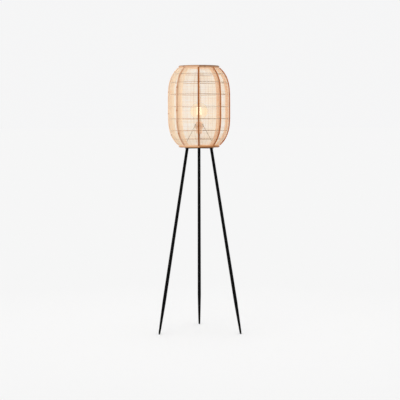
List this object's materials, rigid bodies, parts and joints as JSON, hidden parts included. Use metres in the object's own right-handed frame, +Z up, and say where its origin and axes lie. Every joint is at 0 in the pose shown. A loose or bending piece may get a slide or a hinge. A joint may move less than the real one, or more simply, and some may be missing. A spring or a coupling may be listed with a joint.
{
  "type": "floor lamp",
  "caption": "Floor lamp with a woven rattan barrel shade on a splayed black tripod, and a clear amber globe bulb screwed into its lampholder.",
  "frame": {"origin": "on the floor, below the middle of the box round the lamp; the lamp's own upright axis stands 44.3 mm in front of it, at y = -0.0443", "axes": "+Z up along the lamp's axis; -Y is the front, between two legs; the third leg points back to +Y"},
  "size_m": [0.4526, 0.4325, 1.4615],
  "materials": {
    "rim_rattan": "satin",
    "thin_rattan": "satin",
    "rib_lath": "matte",
    "dark_rattan": "satin",
    "woven_rattan": "matte, woven",
    "black_leg": "satin black",
    "black_steel": "satin black",
    "plated_steel": "zinc plated",
    "black_rubber": "matte",
    "black_plastic": "matte",
    "copper_finish": "copper plated, satin",
    "porcelain": "glazed",
    "brass": "bright",
    "black_glass": "gloss",
    "amber_glass": "clear, amber tint",
    "filament": "glowing"
  },
  "bodies": {
    "root": {"rim_top": "rim_rattan", "rim_bottom": "rim_rattan", "hoop_1": "thin_rattan", "hoop_2": "thin_rattan", "hoop_3": "thin_rattan", "hoop_4": "thin_rattan", "hoop_5": "thin_rattan", "hoop_6": "thin_rattan", "hoop_7": "thin_rattan", "rib_lath_1": "rib_lath", "rib_lath_2": "rib_lath", "rib_lath_3": "rib_lath", "rib_lath_4": "rib_lath", "rib_lath_5": "rib_lath", "rib_lath_6": "rib_lath", "rib_lath_7": "rib_lath", "rib_lath_8": "rib_lath", "rib_cane_1": "dark_rattan", "rib_cane_2": "dark_rattan", "rib_cane_3": "dark_rattan", "rib_cane_4": "dark_rattan", "rib_cane_5": "dark_rattan", "rib_cane_6": "dark_rattan", "rib_cane_7": "dark_rattan", "rib_cane_8": "dark_rattan", "woven_panel_1": "woven_rattan", "woven_panel_2": "woven_rattan", "woven_panel_3": "woven_rattan", "woven_panel_4": "woven_rattan", "woven_panel_5": "woven_rattan", "woven_panel_6": "woven_rattan", "woven_panel_7": "woven_rattan", "woven_panel_8": "woven_rattan", "shade_spider": "black_steel", "leg_1": "black_leg", "leg_stud_1": "plated_steel", "foot_tip_1": "black_rubber", "leg_2": "black_leg", "leg_stud_2": "plated_steel", "foot_tip_2": "black_rubber", "leg_3": "black_leg", "leg_stud_3": "plated_steel", "foot_tip_3": "black_rubber", "leg_hub": "black_steel", "stem_tube": "plated_steel", "stem_nut_lower": "plated_steel", "stem_nut_upper": "plated_steel", "cord_gland": "black_plastic", "holder_cap": "copper_finish", "holder_body": "copper_finish", "holder_contact_block": "porcelain", "holder_thread_shell": "brass", "holder_centre_contact": "brass", "shade_ring_upper": "copper_finish", "shade_ring_lower": "copper_finish"},
    "bulb_lift": {"bulb_contact": "plated_steel"},
    "bulb": {"bulb_cap": "brass", "bulb_glass": "amber_glass", "bulb_insulator": "black_glass", "bulb_filament": "filament"}
  },
  "joints": [
    {"name": "bulb_turn", "type": "hinge", "parent": "bulb_lift", "child": "bulb", "pos_m": [0, -0.0443, 1.2], "axis": [0, 0, 1], "range_deg": [0, 1080]},
    {"name": "bulb_rise", "type": "slide", "parent": "root", "child": "bulb_lift", "axis": [0, 0, 1], "range_m": [0, 0.0109]}
  ],
  "couplings": [
    {"joint": "bulb_rise", "follows": "bulb_turn", "m_per_rad": 0.00057757}
  ]
}
